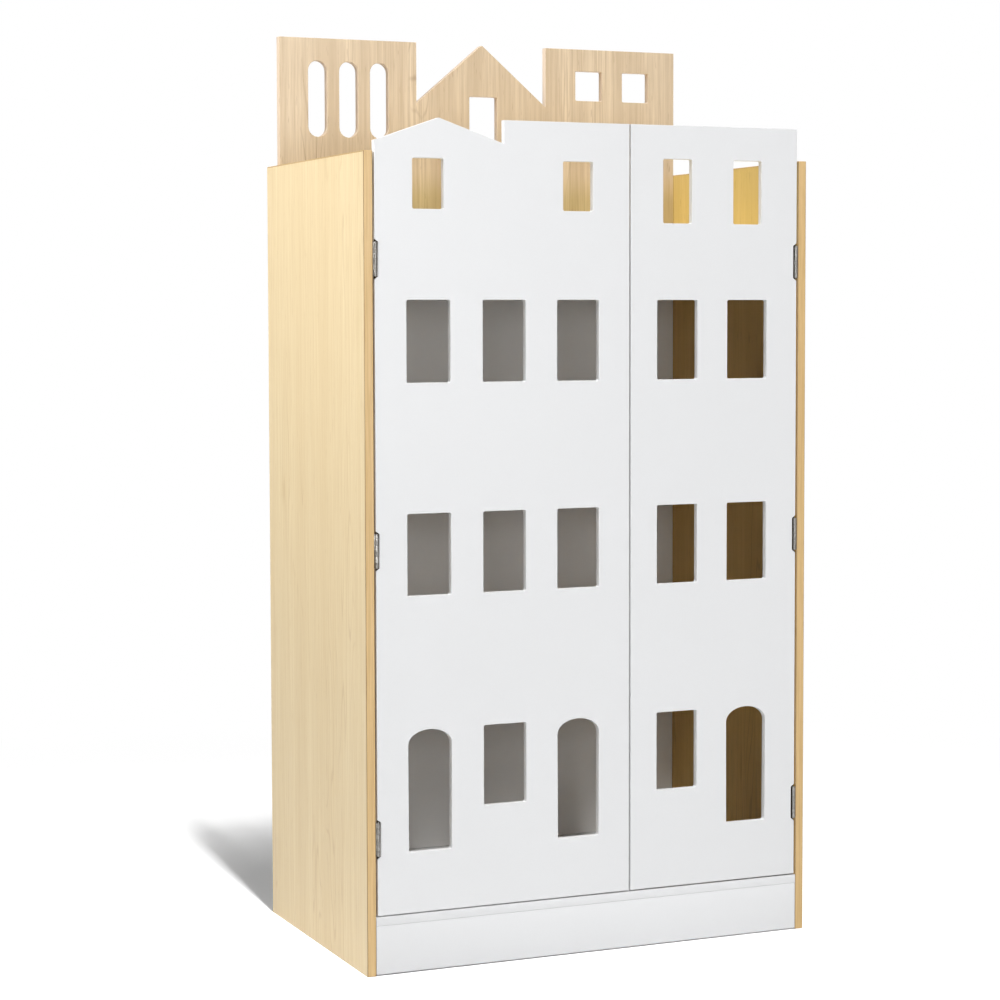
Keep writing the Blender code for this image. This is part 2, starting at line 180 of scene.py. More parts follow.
def contour_lines(tree, field, count, width):
    """1 on the lines along which a smooth field keeps one of count levels, else 0."""
    levels = add_node(tree, "ShaderNodeMath", {0: field, 1: float(count)}, operation="MULTIPLY")
    wave = add_node(tree, "ShaderNodeMath", {0: levels.outputs[0], 1: 0.5}, operation="PINGPONG")
    return remap(tree, wave.outputs[0], 0.0, width, 1.0, 0.0)


def maple(name, pale, tan, fleck, contrast=1.0, growth=0.35, shift=(0.0, 0.0, 0.0), painted_shade=None,
          grain="Z"):
    """Maple laminate: soft bands, fine streaks, growth lines here and there, short flecks.

    Here and below, a noise's scale is its cells per metre and a bump's distance is in metres.
    painted_shade is (colour, low, high): below low this colour is multiplied in as painted shade,
    fading out towards high. grain is the axis that the grain runs along.
    """
    material, tree, shader = new_material(name, 0.42)
    long_grain, short_grain, figure = (
        stretched(tree, [ratio if axis == grain else 1.0 for axis in "XYZ"], shift)
        for ratio in (0.022, 0.10, 0.11))
    band = noise(tree, long_grain, 16.0, 2.0, 0.5)
    streak = noise(tree, long_grain, 130.0, 5.0, 0.6, 0.2)
    line = noise(tree, long_grain, 310.0, 3.0, 0.6)
    ring = contour_lines(tree, noise(tree, figure, 7.0, 3.0, 0.45, 0.25), 26, 0.16)
    patch = remap(tree, noise(tree, figure, 11.0, 2.0), 0.48, 0.66)
    ring_seen = add_node(tree, "ShaderNodeMath", {0: ring, 1: patch}, operation="MULTIPLY").outputs[0]
    flecks = noise(tree, short_grain, 300.0, 2.0, 0.5)

    colour = mix_colour(tree, remap(tree, band, 0.32, 0.68, 0.0, 0.55 * contrast), pale, tan)
    colour = mix_colour(tree, remap(tree, streak, 0.32, 0.70, 0.0, 0.50 * contrast), colour, tan)
    colour = mix_colour(tree, remap(tree, line, 0.44, 0.66, 0.0, 0.62 * contrast), colour, tan)
    ring_depth = remap(tree, ring_seen, 0.0, 1.0, 0.0, growth * contrast)
    colour = mix_colour(tree, ring_depth, colour, fleck)
    colour = mix_colour(tree, remap(tree, flecks, 0.64, 0.76, 0.0, 0.38 * contrast), colour, fleck)
    # Painted shade: below low the colour is multiplied by the given tone, fading out by high.
    if painted_shade:
        tint, low, high = painted_shade
        place = add_node(tree, "ShaderNodeTexCoord").outputs["Object"]
        height = add_node(tree, "ShaderNodeSeparateXYZ", {0: place}).outputs["Z"]
        deep = remap(tree, height, low, high, 1.0, 0.0)
        colour = mix_colour(tree, deep, colour, tint, "MULTIPLY")
    tree.links.new(colour, shader.inputs["Base Color"])
    tree.links.new(remap(tree, streak, 0.3, 0.7, 0.38, 0.48), shader.inputs["Roughness"])
    bump(tree, shader, line, 0.00004, 0.5)
    return material


def edge_band(name, pale, tan):
    """Plastic edging printed with plain close lines."""
    material, tree, shader = new_material(name, 0.38)
    along = stretched(tree, (1.0, 1.0, 0.02))
    streak = noise(tree, along, 420.0, 4.0, 0.6)
    broad = noise(tree, stretched(tree, (1.0, 1.0, 0.3)), 14.0, 2.0)
    colour = mix_colour(tree, remap(tree, streak, 0.35, 0.70), pale, tan)
    colour = mix_colour(tree, remap(tree, broad, 0.3, 0.7, 0.0, 0.3), colour, tan)
    tree.links.new(colour, shader.inputs["Base Color"])
    tree.links.new(remap(tree, streak, 0.3, 0.7, 0.33, 0.44), shader.inputs["Roughness"])
    bump(tree, shader, streak, 0.00003, 0.4)
    return material


def lacquer(name, white, roughness=0.36):
    """Sprayed white lacquer: a faint orange peel and a hardly uneven tone."""
    material, tree, shader = new_material(name, roughness)
    place = stretched(tree, (1.0, 1.0, 1.0))
    cloud = noise(tree, place, 3.5, 2.0, 0.5)
    peel = noise(tree, place, 520.0, 3.0, 0.55)
    grey = tuple(channel * 0.975 for channel in white)
    colour = mix_colour(tree, remap(tree, cloud, 0.3, 0.7, 0.0, 0.4), white, grey)
    colour = mix_colour(tree, remap(tree, peel, 0.35, 0.7, 0.0, 0.6), colour, grey)
    tree.links.new(colour, shader.inputs["Base Color"])
    tree.links.new(remap(tree, peel, 0.3, 0.7, roughness - 0.03, roughness + 0.04),
                   shader.inputs["Roughness"])
    bump(tree, shader, peel, 0.00005, 0.3)
    return material


def chipboard(name):
    """The raw edge of particle board: pale and dark chips pressed together."""
    material, tree, shader = new_material(name, 0.85, specular=0.2)
    place = stretched(tree, (1.0, 1.0, 0.55))
    chips = add_node(tree, "ShaderNodeTexVoronoi", {"Vector": place, "Scale": 620.0})
    tone = noise(tree, place, 260.0, 4.0, 0.7)
    colour = mix_colour(tree, remap(tree, tone, 0.3, 0.7), (0.50, 0.36, 0.21), (0.27, 0.18, 0.10))
    colour = mix_colour(tree, 0.35, colour, chips.outputs["Color"], "SOFT_LIGHT")
    tree.links.new(colour, shader.inputs["Base Color"])
    bump(tree, shader, tone, 0.0003, 0.6)
    return material


def notch_shade_paint(name):
    """Painted shade for the hollows of the hinge notches: a near-black brown, fuzzy and dull."""
    material, tree, shader = new_material(name, 0.9, specular=0.15)
    place = stretched(tree, (1.0, 1.0, 1.0))
    fuzz = noise(tree, place, 900.0, 3.0, 0.7)
    colour = mix_colour(tree, remap(tree, fuzz, 0.3, 0.7), (0.11, 0.075, 0.045), (0.05, 0.033, 0.02))
    tree.links.new(colour, shader.inputs["Base Color"])
    bump(tree, shader, fuzz, 0.0002, 0.6)
    return material


def metal(name, bright, dull, roughness, brushed=(1.0, 1.0, 1.0), scale=300.0, relief=0.00002):
    """Plated or cast metal. brushed stretches its marks."""
    material, tree, shader = new_material(name, roughness, metallic=1.0)
    place = stretched(tree, brushed)
    marks = noise(tree, place, scale, 5.0, 0.6)
    stain = noise(tree, stretched(tree, (1.0, 1.0, 1.0)), 90.0, 3.0)
    colour = mix_colour(tree, remap(tree, marks, 0.3, 0.7), bright, dull)
    colour = mix_colour(tree, remap(tree, stain, 0.5, 0.8, 0.0, 0.4), colour, dull)
    tree.links.new(colour, shader.inputs["Base Color"])
    tree.links.new(remap(tree, marks, 0.3, 0.7, roughness * 0.75, roughness * 1.3),
                   shader.inputs["Roughness"])
    bump(tree, shader, marks, relief, 0.5)
    return material


def moulded(name, pale, dark):
    """Moulded plastic with a spark-eroded texture."""
    material, tree, shader = new_material(name, 0.45)
    place = stretched(tree, (1.0, 1.0, 1.0))
    grain = noise(tree, place, 1500.0, 2.0)
    cloud = noise(tree, place, 60.0, 2.0)
    colour = mix_colour(tree, remap(tree, cloud, 0.3, 0.7), pale, dark)
    tree.links.new(colour, shader.inputs["Base Color"])
    tree.links.new(remap(tree, grain, 0.3, 0.7, 0.38, 0.52), shader.inputs["Roughness"])
    bump(tree, shader, grain, 0.00005, 0.4)
    return material


# The pale, tan and fleck tones of each maple.
OUTER_TONES = (0.90, 0.74, 0.47), (0.79, 0.615, 0.36), (0.62, 0.43, 0.21)
INNER_TONES = (0.78, 0.60, 0.24), (0.66, 0.50, 0.175), (0.42, 0.29, 0.09)
SKYLINE_TONES = (0.77, 0.635, 0.465), (0.55, 0.425, 0.285), (0.38, 0.265, 0.165)

MAPLE = maple("maple_laminate", *OUTER_TONES)
# Inner faces' maple. Below the top board it is multiplied by a deeper orange tone: painted shade for the
# closed inside.
MAPLE_INSIDE = maple("maple_inside", *INNER_TONES, contrast=1.15, growth=0.4,
                     shift=(5.2, 0.6, 2.3), painted_shade=((1.0, 0.82, 0.62), 1.24, 1.27))
MAPLE_SHELF = maple("maple_shelf", *INNER_TONES, contrast=1.15, growth=0.4,
                    shift=(1.4, 3.6, 0.9), grain="X")
# Skyline board. Below the side panels' tops, in the attic behind the doors, it is multiplied by a deeper
# tone: painted shade.
SKYLINE_MAPLE = maple("skyline_maple", *SKYLINE_TONES, contrast=1.3, growth=0.7,
                      shift=(3.1, 1.7, 0.4), painted_shade=((0.78, 0.78, 0.60), 1.34, 1.41))
# Painted light: a paler tone for the skyline board's edge faces, so that the reveals of its windows show
# lit.
SKYLINE_EDGE_LIT = edge_band("skyline_edge_painted_light", (0.86, 0.70, 0.54), (0.76, 0.60, 0.45))
# Painted shade: a darker tan for the front band's rounded arrises, which draws a dark line along that
# edge.
BAND_ARRIS_SHADE = edge_band("band_arris_shade", (0.36, 0.225, 0.10), (0.29, 0.175, 0.075))
GLUE = edge_band("glue_line", (0.20, 0.12, 0.055), (0.13, 0.08, 0.035))
BAND = edge_band("edge_band", (0.63, 0.44, 0.21), (0.52, 0.345, 0.145))
WHITE = lacquer("white_lacquer", (0.675, 0.68, 0.688))
WHITE_REAR = lacquer("white_rear", (0.70, 0.70, 0.695))
# Painted light: a much brighter white for the doors' edge faces and window reveals than for their fronts,
# so that they show lit.
WHITE_EDGE_LIT = lacquer("white_edge_painted_light", (0.88, 0.885, 0.89))
# White melamine inside, partly painted light: its white is far brighter than the outer lacquer, to lift
# the dim inside.
WHITE_INSIDE_LIT = lacquer("white_melamine_painted_light", (0.92, 0.915, 0.90), 0.45)
CHIPS = chipboard("raw_chipboard")
# Painted shade for the hinge notches.
NOTCH_SHADE = notch_shade_paint("notch_shade_paint")
NICKEL = metal("nickel", (0.42, 0.41, 0.39), (0.30, 0.29, 0.27), 0.40)
CHROME = metal("chrome", (0.80, 0.80, 0.81), (0.72, 0.72, 0.73), 0.13,
               brushed=(0.05, 1.0, 1.0), scale=500.0, relief=0.000005)
ZINC = metal("zinc", (0.55, 0.56, 0.58), (0.42, 0.43, 0.45), 0.42, relief=0.00004)
STEEL = metal("screw_steel", (0.62, 0.62, 0.61), (0.45, 0.45, 0.44), 0.35, scale=700.0)
PLASTIC = moulded("white_plastic", (0.82, 0.82, 0.80), (0.78, 0.78, 0.755))
MAGNET = metal("magnet", (0.10, 0.10, 0.11), (0.05, 0.05, 0.055), 0.55)

SURFACE_OF_SLOT = {
    "maple_laminate": MAPLE,
    "skyline_maple": SKYLINE_MAPLE,
    "white_paint": WHITE,
    "nickel": NICKEL,
    "chrome": CHROME,
    "zinc": ZINC,
    "white_plastic": PLASTIC,
}


# ---------------------------------------------------------------- shapes

def welded(name, source):
    """A new object with the shape of a CAD node, its flat faces whole again."""
    bm = bmesh.new()
    bm.from_mesh(source.data)
    bmesh.ops.remove_doubles(bm, verts=bm.verts, dist=TOUCH)
    bmesh.ops.dissolve_limit(bm, angle_limit=math.radians(0.5), verts=bm.verts, edges=bm.edges)
    bmesh.ops.recalc_face_normals(bm, faces=bm.faces)
    mesh = bpy.data.meshes.new(name)
    bm.to_mesh(mesh)
    bm.free()
    return added(name, mesh)


def added(name, mesh):
    """A new object in the scene, which shows the mesh."""
    obj = bpy.data.objects.new(name, mesh)
    bpy.context.scene.collection.objects.link(obj)
    return obj


def applied(obj):
    """Applies the object's modifiers and removes their cutters."""
    graph = bpy.context.evaluated_depsgraph_get()
    mesh = bpy.data.meshes.new_from_object(obj.evaluated_get(graph))
    cutters = [m.object for m in obj.modifiers if m.type == "BOOLEAN"]
    obj.modifiers.clear()
    obj.data = mesh
    for cutter in cutters:
        bpy.data.objects.remove(cutter, do_unlink=True)
    return obj


def cut(obj, cutter):
    """Takes the cutter's shape out of the object, once applied is called."""
    modifier = obj.modifiers.new("cut", "BOOLEAN")
    modifier.operation = "DIFFERENCE"
    modifier.object = cutter
    modifier.solver = "EXACT"


def ease(obj, width, segments=2, angle=30.0):
    """Rounds the sharp edges, and shades the flat faces flat and the roundings smooth."""
    modifier = obj.modifiers.new("ease", "BEVEL")
    modifier.width = width
    modifier.segments = segments
    modifier.limit_method = "ANGLE"
    modifier.angle_limit = math.radians(angle)
    modifier.use_clamp_overlap = True
    modifier.harden_normals = True
    for polygon in obj.data.polygons:
        polygon.use_smooth = True
    return applied(obj)


def shaded(obj):
    """Shades the roundings smooth, the flat faces flat, and keeps the sharp corners."""
    obj.data.shade_smooth()
    obj.data.set_sharp_from_angle(angle=math.radians(SHARP_ANGLE))
    modifier = obj.modifiers.new("shade", "WEIGHTED_NORMAL")
    modifier.mode = "FACE_AREA"
    modifier.weight = 90
    modifier.keep_sharp = True
    return applied(obj)


def round_over(bm, level, back, width):
    """Sets the flat face at y = level inside a rounding of its outline. back points into the board."""
    cap = [face for face in bm.faces if all(abs(vert.co.y - level) < TOUCH for vert in face.verts)]
    bmesh.ops.delete(bm, geom=cap, context="FACES")
    rim = [edge for edge in bm.edges if edge.is_boundary and abs(edge.verts[0].co.y - level) < TOUCH]
    walls = {}
    for edge in rim:
        for vert in edge.verts:
            walls.setdefault(vert, []).append(edge.link_faces[0].normal.copy())
    rings = {}
    for vert, (first, second) in walls.items():
        inward = -(first + second) / (1.0 + first.dot(second))
        corner = vert.co.copy()
        rings[vert] = [vert]
        for step in range(ROUND_STEPS + 1):
            turn = math.pi / 2 * step / ROUND_STEPS
            place = corner + inward * width * (1.0 - math.cos(turn))
            place.y += back * width * (1.0 - math.sin(turn))
            if step == 0:
                vert.co = place
            else:
                rings[vert].append(bm.verts.new(place))
    last = []
    for edge in rim:
        near, far = (rings[vert] for vert in edge.verts)
        for k in range(ROUND_STEPS):
            bm.faces.new((near[k], far[k], far[k + 1], near[k + 1]))
        last.append(bm.edges.get((near[-1], far[-1])))
    bmesh.ops.triangle_fill(bm, use_beauty=True, edges=last, normal=(0.0, -back, 0.0))


def eased_plate(name, source, width):
    """The shape of a CAD board that lies square to Y, its front and rear outlines rounded over."""
    bm = bmesh.new()
    bm.from_mesh(source.data)
    bmesh.ops.remove_doubles(bm, verts=bm.verts, dist=TOUCH)
    bm.normal_update()
    depths = [vert.co.y for vert in bm.verts]
    round_over(bm, min(depths), 1.0, width)
    round_over(bm, max(depths), -1.0, width)
    bmesh.ops.recalc_face_normals(bm, faces=bm.faces)
    mesh = bpy.data.meshes.new(name)
    bm.to_mesh(mesh)
    bm.free()
    return shaded(added(name, mesh))


def painted(obj, material):
    """Gives the whole object one material."""
    obj.data.materials.clear()
    obj.data.materials.append(material)
    return obj


def stands_for(obj, node, material=None):
    """The object takes the node's place, body, slot and finish."""
    painted(obj, material or SURFACE_OF_SLOT[SLOT_OF[node]])
    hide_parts(node)
    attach(obj, BODY_OF[node])
    return obj


def fixed_to(obj, node, material):
    """A finer piece that the CAD leaves out, on the body of a node."""
    painted(obj, material)
    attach(obj, BODY_OF[node])
    return obj


def block(name, low, high):
    """A box between two corners."""
    bm = bmesh.new()
    bmesh.ops.create_cube(bm, size=1.0)
    for vert in bm.verts:
        vert.co = Vector([low[i] if vert.co[i] < 0 else high[i] for i in range(3)])
    mesh = bpy.data.meshes.new(name)
    bm.to_mesh(mesh)
    bm.free()
    return added(name, mesh)


def turned(name, profile, steps=32):
    """A solid of revolution about Z, from a closed loop of (radius, height) points."""
    bm = bmesh.new()
    rings = []
    for radius, height in profile:
        count = steps if radius > 0 else 1
        angles = [math.tau * i / steps for i in range(count)]
        rings.append([bm.verts.new((radius * math.cos(a), radius * math.sin(a), height)) for a in angles])
    for i, ring in enumerate(rings):
        last = rings[i - 1]
        if len(ring) == 1 and len(last) == 1:
            continue
        for k in range(steps):
            corners = [last[k % len(last)], last[(k + 1) % steps % len(last)]]
            corners += [ring[(k + 1) % steps % len(ring)], ring[k % len(ring)]]
            bm.faces.new(list(dict.fromkeys(corners)))
    bmesh.ops.recalc_face_normals(bm, faces=bm.faces)
    mesh = bpy.data.meshes.new(name)
    bm.to_mesh(mesh)
    bm.free()
    mesh.shade_smooth()
    mesh.set_sharp_from_angle(angle=math.radians(SHARP_ANGLE))
    return added(name, mesh)


def moved(obj, at, facing=(0, 0, 1)):
    """Puts the shape's own origin at a point, with its Z along facing, and writes that in its mesh."""
    turn = Vector(facing).to_track_quat("Z", "Y").to_matrix().to_4x4()
    obj.data.transform(Matrix.Translation(Vector(at)) @ turn)
    return obj


def countersink(radius, at, facing):
    """A cutter for a screw's countersunk hole, whose mouth lies at a point."""
    profile = [(0.0, 0.0006), (radius + 0.0006, 0.0006), (radius * 0.45, -radius * 0.6)]
    profile += [(radius * 0.45, -0.003), (0.0, -0.003)]
    return moved(turned("countersink", profile), at, facing)


SCREW_MESHES = {}


def screw(name, radius, at, facing, node):
    """A countersunk screw with a cross recess, its head flush at a point and facing out."""
    if radius not in SCREW_MESHES:
        deep = radius * 0.62
        profile = [(0.0, 0.00008), (radius * 0.8, 0.00005), (radius, -0.00006)]
        profile += [(radius * 0.42, -deep), (radius * 0.42, -deep * 1.5), (0.0, -deep * 1.5)]
        head = turned("screw_head", profile, 24)
        reach, half = radius * 0.62, radius * 0.13
        cut(head, block("recess_a", (-reach, -half, -deep * 0.8), (reach, half, 0.001)))
        cut(head, block("recess_b", (-half, -reach, -deep * 0.8), (half, reach, 0.001)))
        bpy.context.view_layer.update()
        SCREW_MESHES[radius] = applied(head).data
        bpy.data.objects.remove(head)
    made = moved(added(name, SCREW_MESHES[radius].copy()), at, facing)
    return fixed_to(made, node, STEEL)


# ---------------------------------------------------------------- boards

def ease_board(node, material=None):
    """A plain board with all its edges rounded a little."""
    board = ease(welded(node + "_eased", frame["nodes"][node]), BOARD_EASE)
    return stands_for(board, node, material)


def paint_faces(obj, material, wanted):
    """Gives the faces that wanted(centre, normal) picks another material."""
    obj.data.materials.append(material)
    number = len(obj.data.materials) - 1
    for polygon in obj.data.polygons:
        if wanted(polygon.center, polygon.normal):
            polygon.material_index = number


def add_side_panel(node):
    """A laminated core, raw at its rear and foot, with edging glued to its front and top edges."""
    low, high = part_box(node)
    core_low = (low.x, low.y + BAND_THICK, low.z)
    core = block(node + "_core", core_low, (high.x, high.y, high.z - BAND_THICK))
    stands_for(ease(core, CORE_EASE, 1), node)
    inward = 1.0 if low.x < 0 else -1.0
    paint_faces(core, CHIPS, lambda centre, normal: normal.y > 0.9 or normal.z < -0.9)
    paint_faces(core, MAPLE_INSIDE, lambda centre, normal: normal.x * inward > 0.9)

    front = block(node + "_front_band", low, (high.x, low.y + BAND_THICK, high.z))
    fixed_to(ease(front, BAND_EASE, 3), node, BAND)
    # Painted shade: the band's rounded front arrises take the darker tan.
    paint_faces(front, BAND_ARRIS_SHADE, lambda centre, normal: 0.2 < abs(normal.x) < 0.99 and normal.y < 0.0)
    top_low = (low.x, low.y + BAND_THICK, high.z - BAND_THICK)
    top = block(node + "_top_band", top_low, high)
    fixed_to(ease(top, BAND_EASE, 3), node, BAND)
    seam_low = (low.x + GLUE_LINE, low.y + BAND_THICK - GLUE_LINE, low.z)
    seam_high = (high.x - GLUE_LINE, low.y + BAND_THICK + GLUE_LINE, high.z - GLUE_LINE)
    seam = block(node + "_glue_line", seam_low, seam_high)
    fixed_to(ease(seam, GLUE_LINE / 4, 1), node, GLUE)


def add_door(side):
    """A painted door whose edge faces and window reveals are painted brighter as painted light, and whose
    hinge-notch faces are painted near-black as painted shade.
    """
    node = side + "_door"
    door = eased_plate(node + "_eased", frame["nodes"][node], DOOR_EASE)
    stands_for(door, node)
    low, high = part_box(node)
    edge, inward = (low.x, 1.0) if side == "left" else (high.x, -1.0)
    pins = [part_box(f"{side}_{level}_hinge_pin") for level in LEVELS]
    levels = [(pin_low.z + pin_high.z) / 2 for pin_low, pin_high in pins]

    def in_notch(centre, normal):
        across = (centre.x - edge) * inward
        beside = min(abs(centre.z - level) for level in levels)
        inside = NOTCH_RIM < across < NOTCH_ACROSS and beside < NOTCH_HALF
        return inside and centre.y > low.y + DOOR_EASE and (side == "right" or abs(normal.x) < 0.9)

    # Painted light: the edge faces take the brighter white.
    paint_faces(door, WHITE_EDGE_LIT, lambda centre, normal: abs(normal.y) < 0.2)
    # Painted shade: the notch faces that lie in shade take the near-black brown.
    paint_faces(door, NOTCH_SHADE, in_notch)
    paint_faces(door, WHITE_REAR, lambda centre, normal: normal.y > 0.999)


def add_boards():
    """The side panels, the doors, the plain boards and the skyline board."""
    for node in ("left_side_panel", "right_side_panel"):
        add_side_panel(node)
    for side in SIDES:
        add_door(side)
    for node in ("toe_kick", "bottom_board"):
        ease_board(node)
    for node in ("top_board", "back_panel", "rear_plinth_rail"):
        # The boards inside take the brightened white: painted light in part.
        ease_board(node, material=WHITE_INSIDE_LIT)
    paint_faces(bpy.data.objects["top_board_eased"], MAPLE_SHELF, lambda centre, normal: normal.z > 0.9)
    skyline = eased_plate("skyline_board_eased", frame["nodes"]["skyline_board"], BOARD_EASE)
    stands_for(skyline, "skyline_board")
    # Painted light: the edge faces take the paler tone.
    paint_faces(skyline, SKYLINE_EDGE_LIT, lambda centre, normal: abs(normal.y) < 0.5)


# ---------------------------------------------------------------- hinges

def add_hinge(side, level):
    """The two leaves with countersunk screws, and the pin with its low round heads."""
    stem = f"{side}_{level}_hinge"
    inward = 1 if side == "left" else -1
    pin_low, pin_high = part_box(stem + "_pin")
    middle = (pin_low + pin_high) / 2
    for part in ("_frame_leaf", "_door_leaf"):
        node = stem + part
        low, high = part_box(node)
        leaf = welded(node + "_drilled", frame["nodes"][node])
        face_x = low.x if side == "left" else high.x
        if part == "_frame_leaf":
            radius, depths, facing = FRAME_SCREW_RADIUS, FRAME_SCREW_DEPTHS, (inward, 0, 0)
            face_x += inward * LEAF_THICK
        else:
            radius, depths, facing = DOOR_SCREW_RADIUS, DOOR_SCREW_DEPTHS, (-inward, 0, 0)
        spots = []
        for depth, lift in zip(depths, HINGE_SCREW_LIFTS):
            spots.append((face_x, high.y - depth, middle.z + lift))
        for spot in spots:
            cut(leaf, countersink(radius, spot, facing))
        bpy.context.view_layer.update()
        applied(leaf)
        stands_for(ease(leaf, METAL_EASE, 2, 35.0), node)
        for number, spot in enumerate(spots):
            screw(f"{node}_screw_{number + 1}", radius, spot, facing, node)
    node = stem + "_pin"
    reach = (pin_high.z - pin_low.z) / 2
    profile = [(0.0, -reach), (0.0009, -reach + 0.00008), (0.0016, -reach + 0.0003)]
    profile += [(0.0021, -reach + 0.0006), (0.0022, -reach + 0.0009), (0.0015, -reach + 0.0009)]
    profile += [(radius, -height) for radius, height in reversed(profile)]
    pin = moved(turned(node + "_round", profile), middle)
    stands_for(pin, node)


# ---------------------------------------------------------------- fittings inside

def add_rail():
    """A chromed tube between two cupped sockets with round flanges."""
    low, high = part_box("hanging_rail")
    middle = (low + high) / 2
    outer = (high.z - low.z) / 2
    inner = outer - TUBE_WALL
    reach = (high.x - low.x) / 2
    profile = [(inner, -reach), (outer - TUBE_EASE, -reach), (outer, -reach + TUBE_EASE)]
    profile += [(outer, reach - TUBE_EASE), (outer - TUBE_EASE, reach), (inner, reach)]
    tube = moved(turned("hanging_rail_tube", profile, 64), middle, (1, 0, 0))
    stands_for(tube, "hanging_rail")
    for side, inward in (("left", 1), ("right", -1)):
        node = side + "_rail_socket"
        low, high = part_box(node)
        radius = (high.z - low.z) / 2
        length = high.x - low.x
        wall = low.x if inward > 0 else high.x
        cup = outer + CUP_CLEARANCE
        profile = [(0.0, 0.0), (radius, 0.0), (radius, 0.0022), (radius - 0.0005, 0.0028)]
        profile += [(cup + 0.0034, 0.0034), (cup + 0.0026, 0.0042), (cup + 0.0024, length - 0.0005)]
        profile += [(cup + 0.0019, length), (cup, length), (cup, 0.002), (0.0, 0.002)]
        centre = (wall, middle.y, middle.z)
        socket = moved(turned(node + "_cup", profile, 64), centre, (inward, 0, 0))
        stands_for(socket, node)


def add_catch(side):
    """A magnet between two steel strips in a plastic body with an ear at each end."""
    node = side + "_catch"
    low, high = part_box(node)
    body_low = (low.x + EAR_LONG, low.y + 0.0008, low.z)
    body = block(node + "_body", body_low, (high.x - EAR_LONG, high.y, high.z))
    mouth_low = (low.x + EAR_LONG + LIP, low.y - 0.001, low.z + LIP)
    mouth_high = (high.x - EAR_LONG - LIP, low.y + MOUTH_DEEP, high.z - LIP)
    cut(body, block("mouth", mouth_low, mouth_high))
    bpy.context.view_layer.update()
    applied(body)
    stands_for(ease(body, CATCH_EASE), node)

    reach = EAR_LONG + EAR_LAP
    ears = ((low.x, low.x + reach), (high.x - reach, high.x))
    for number, (left, right) in enumerate(ears):
        ear_low = (left, low.y + 0.004, high.z - EAR_THICK)
        lug = block(f"{node}_ear_{number + 1}", ear_low, (right, high.y - 0.003, high.z))
        spot = ((left + right) / 2, (low.y + high.y) / 2, high.z - EAR_THICK)
        cut(lug, countersink(CATCH_SCREW_RADIUS, spot, (0, 0, -1)))
        bpy.context.view_layer.update()
        applied(lug)
        fixed_to(ease(lug, EAR_EASE), node, PLASTIC)
        screw(f"{node}_screw_{number + 1}", CATCH_SCREW_RADIUS, spot, (0, 0, -1), node)

    left = low.x + EAR_LONG + LIP + POLE_GAP
    right = high.x - EAR_LONG - LIP - POLE_GAP
    middle = (low.z + high.z) / 2
    deep = low.y + POLE_DEEP
    for number, lift in enumerate(POLE_LIFTS):
        strip_high = (right, deep, middle + lift + POLE_THICK)
        strip = block(f"{node}_pole_{number + 1}", (left, low.y, middle + lift), strip_high)
        fixed_to(ease(strip, SMALL_EASE, 1), node, STEEL)
    core_low = (left, low.y + 0.0009, middle - MAGNET_HALF)
    core = block(node + "_magnet", core_low, (right, deep, middle + MAGNET_HALF))
    fixed_to(ease(core, SMALL_EASE, 1), node, MAGNET)


def add_strike_plate(side):
    """A steel plate with rounded corners, screwed to the door opposite its catch."""
    node = side + "_strike_plate"
    low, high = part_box(node)
    plate = welded(node + "_drilled", frame["nodes"][node])
    bm = bmesh.new()
    bm.from_mesh(plate.data)
    upright = [edge for edge in bm.edges if abs((edge.verts[0].co - edge.verts[1].co).y) > 0.001]
    bmesh.ops.bevel(bm, geom=upright, offset=PLATE_CORNER, segments=5, profile=0.5, affect="EDGES")
    bm.to_mesh(plate.data)
    bm.free()
    spot = ((low.x + high.x) / 2, high.y, (low.z + high.z) / 2)
    cut(plate, countersink(PLATE_SCREW_RADIUS, spot, (0, 1, 0)))
    bpy.context.view_layer.update()
    applied(plate)
    stands_for(ease(plate, PLATE_EASE, 1), node)
    screw(node + "_screw", PLATE_SCREW_RADIUS, spot, (0, 1, 0), node)


def add_cams():
    """The cam locks keep their shape and get a small rounding."""
    for node in SLOT_OF:
        if node.endswith("_cam"):
            cam = welded(node + "_eased", frame["nodes"][node])
            stands_for(ease(cam, METAL_EASE, 1, 40.0), node)


# ---------------------------------------------------------------- studio

# The fitted view of the photograph: yaw, pitch and roll in degrees, place in metres.
CAMERA_TURN = (23.363, -3.418, -0.135)
CAMERA_AT = (-1.8823, -4.2022, 1.1239)
CAMERA_LENS = 90.11
CAMERA_SHIFT = -0.035

# Rectangular lights: name, place, the point it faces, width, height, power in watts.
SOFTBOXES = (
    ("front_box", (0.0, -4.6, 1.25), (0.0, 0.0, 1.0), 3.0, 0.8, 54.0),
    ("front_upper_box", (0.0, -3.4, 2.3), (0.0, 0.0, 1.2), 3.0, 0.8, 19.0),
    ("side_box", (-1.75, 0.0, 2.25), (-0.4, 0.0, 1.0), 1.4, 0.6, 17.0),
    ("low_side_box", (-4.5, 0.0, 0.5), (0.0, 0.0, 0.6), 2.4, 0.6, 34.0),
    ("right_box", (1.1, -0.7, 5.0), (0.6, 0.0, 0.0), 0.6, 0.6, 8.0),
    ("rear_box", (2.2, 4.2, 0.5), (0.0, 0.3, 0.7), 2.4, 0.8, 14.0),
)

# The spot on the left side panel's upper part.
SPOT_AT = (-3.2, -0.3, 2.2)
SPOT_TOWARD = (-0.425, 0.0, 1.5)    # the point that it faces
SPOT_POWER = 100.0
SPOT_CONE = 44.0         # degrees
SPOT_RADIUS = 0.3

# The key lights, which cast the floor shadow: height in degrees, power in watts.
KEY_LIGHTS = ((64, 880.0), (70, 300.0), (76, 135.0))
KEY_FAR = 12.0           # metres from the left side panel
KEY_AIM = 0.7            # the height of the point that they face
KEY_SLANT = 0.066        # how far to the left they stand, for each metre in front
KEY_SIZE = (0.4, 1.3)

